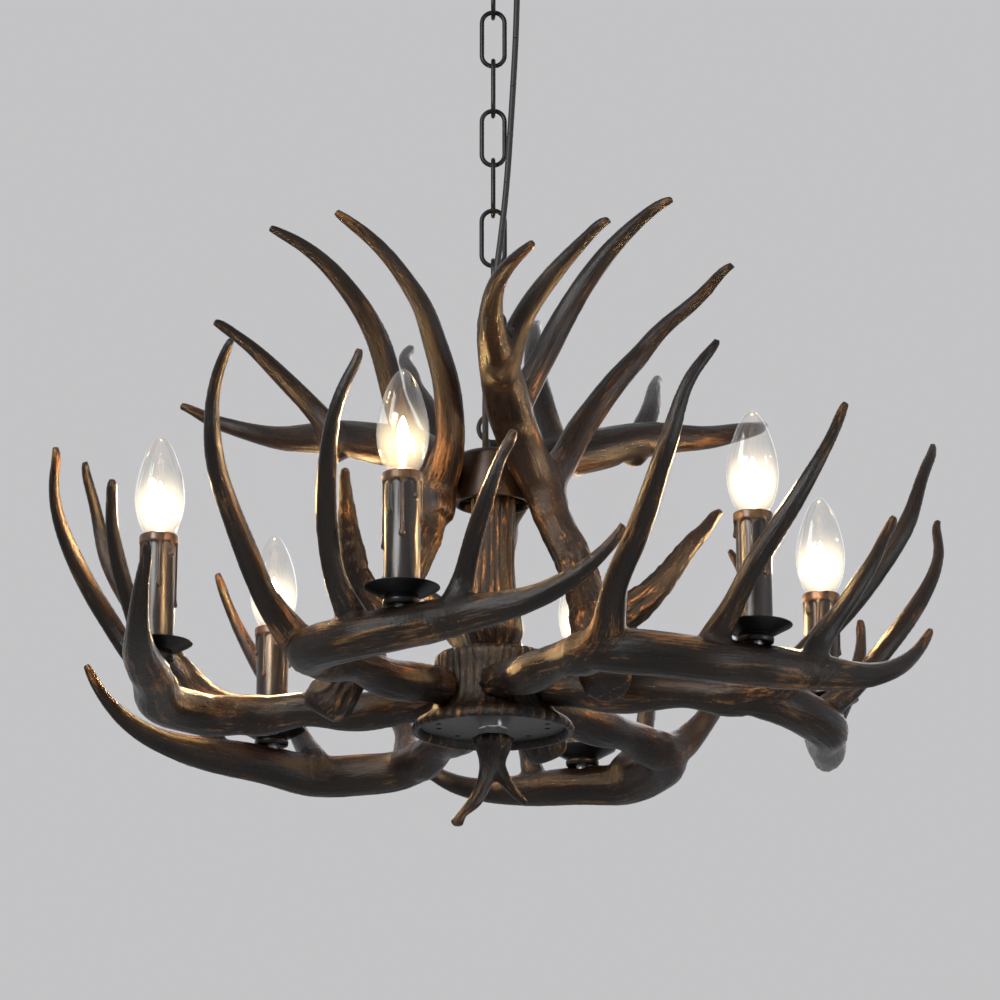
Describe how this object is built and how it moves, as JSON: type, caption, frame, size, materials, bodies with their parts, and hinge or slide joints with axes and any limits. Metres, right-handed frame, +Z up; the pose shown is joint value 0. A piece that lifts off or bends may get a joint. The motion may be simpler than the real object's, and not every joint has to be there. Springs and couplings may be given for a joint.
{
  "type": "chandelier",
  "caption": "Antler chandelier on a chain: candle lamps on curved lower antlers round a bark-textured hub, upper antlers on a collar above",
  "frame": {"origin": "middle of the ceiling strap's upper face, where it meets the ceiling", "axes": "+Z up, +X to the viewer's right, +Y away from the viewer"},
  "size_m": [0.6352, 0.6136, 0.6683],
  "materials": {
    "steel": "zinc plated",
    "bright_steel": "bright plated",
    "black_metal": "black powder coat",
    "bronze": "dark bronze paint",
    "plate_grey": "dark grey enamel",
    "black_plastic": "moulded",
    "white_plastic": "moulded",
    "cord": "smooth sheath",
    "antler": "cast resin, dark brown with rubbed golden highlights",
    "bark": "cast resin, bark pattern",
    "candle": "cast resin, dark bronze",
    "bulb": "clear glass, warm filament"
  },
  "bodies": {
    "ceiling": {"ceiling_strap": "steel", "canopy": "black_metal", "canopy_pipe": "steel", "canopy_nut": "steel", "canopy_loop": "black_metal", "cord_grip": "black_plastic", "terminal_block": "white_plastic", "power_cord": "cord"},
    "link_1": {"chain_link_1": "black_metal"},
    "link_2": {"chain_link_2": "black_metal"},
    "link_3": {"chain_link_3": "black_metal"},
    "link_4": {"chain_link_4": "black_metal"},
    "link_5": {"chain_link_5": "black_metal"},
    "link_6": {"chain_link_6": "black_metal"},
    "link_7": {"chain_link_7": "black_metal"},
    "link_8": {"chain_link_8": "black_metal"},
    "fixture": {"collar_loop": "black_metal", "collar_cup": "bronze", "collar_screws": "black_metal", "antler_screws": "steel", "stem_pipe": "steel", "column_sleeve": "bark", "hub_drum": "bark", "hub_plate": "plate_grey", "stem_washer": "bright_steel", "stem_nut": "bright_steel", "finial": "antler", "arm_bolts": "steel", "candle_nipples": "steel", "lamp_sockets": "white_plastic", "lower_antler_1": "antler", "lower_antler_2": "antler", "lower_antler_3": "antler", "lower_antler_4": "antler", "lower_antler_5": "antler", "lower_antler_6": "antler", "upper_antler_1": "antler", "upper_antler_2": "antler", "upper_antler_3": "antler", "drip_pan_1": "black_metal", "drip_pan_2": "black_metal", "drip_pan_3": "black_metal", "drip_pan_4": "black_metal", "drip_pan_5": "black_metal", "drip_pan_6": "black_metal", "candle_sleeve_1": "candle", "candle_sleeve_2": "candle", "candle_sleeve_3": "candle", "candle_sleeve_4": "candle", "candle_sleeve_5": "candle", "candle_sleeve_6": "candle"},
    "lamp_1": {"bulb_1": "bulb"},
    "lamp_2": {"bulb_2": "bulb"},
    "lamp_3": {"bulb_3": "bulb"},
    "lamp_4": {"bulb_4": "bulb"},
    "lamp_5": {"bulb_5": "bulb"},
    "lamp_6": {"bulb_6": "bulb"}
  },
  "joints": [
    {"name": "swing_1", "type": "hinge", "parent": "ceiling", "child": "link_1", "pos_m": [0, 0, -0.0606], "axis": [0, 1, 0], "range_deg": [-10, 10], "deforming": ["power_cord"]},
    {"name": "swing_2", "type": "hinge", "parent": "link_1", "child": "link_2", "pos_m": [0, 0, -0.0993], "axis": [1, 0, 0], "range_deg": [-10, 10], "deforming": ["power_cord"]},
    {"name": "swing_3", "type": "hinge", "parent": "link_2", "child": "link_3", "pos_m": [0, 0, -0.138], "axis": [0, 1, 0], "range_deg": [-10, 10], "deforming": ["power_cord"]},
    {"name": "swing_4", "type": "hinge", "parent": "link_3", "child": "link_4", "pos_m": [0, 0, -0.1767], "axis": [1, 0, 0], "range_deg": [-10, 10], "deforming": ["power_cord"]},
    {"name": "swing_5", "type": "hinge", "parent": "link_4", "child": "link_5", "pos_m": [0, 0, -0.2154], "axis": [0, 1, 0], "range_deg": [-10, 10], "deforming": ["power_cord"]},
    {"name": "swing_6", "type": "hinge", "parent": "link_5", "child": "link_6", "pos_m": [0, 0, -0.2541], "axis": [1, 0, 0], "range_deg": [-10, 10], "deforming": ["power_cord"]},
    {"name": "swing_7", "type": "hinge", "parent": "link_6", "child": "link_7", "pos_m": [0, 0, -0.2928], "axis": [0, 1, 0], "range_deg": [-10, 10], "deforming": ["power_cord"]},
    {"name": "swing_8", "type": "hinge", "parent": "link_7", "child": "link_8", "pos_m": [0, 0, -0.3315], "axis": [1, 0, 0], "range_deg": [-10, 10], "deforming": ["power_cord"]},
    {"name": "hang", "type": "hinge", "parent": "link_8", "child": "fixture", "pos_m": [0, 0, -0.3702], "axis": [0, 1, 0], "range_deg": [-10, 10], "deforming": ["power_cord"]},
    {"name": "unscrew_1", "type": "slide", "parent": "fixture", "child": "lamp_1", "axis": [0, 0, 1], "range_m": [0, 0.028]},
    {"name": "unscrew_2", "type": "slide", "parent": "fixture", "child": "lamp_2", "axis": [0, 0, 1], "range_m": [0, 0.028]},
    {"name": "unscrew_3", "type": "slide", "parent": "fixture", "child": "lamp_3", "axis": [0, 0, 1], "range_m": [0, 0.028]},
    {"name": "unscrew_4", "type": "slide", "parent": "fixture", "child": "lamp_4", "axis": [0, 0, 1], "range_m": [0, 0.028]},
    {"name": "unscrew_5", "type": "slide", "parent": "fixture", "child": "lamp_5", "axis": [0, 0, 1], "range_m": [0, 0.028]},
    {"name": "unscrew_6", "type": "slide", "parent": "fixture", "child": "lamp_6", "axis": [0, 0, 1], "range_m": [0, 0.028]}
  ]
}
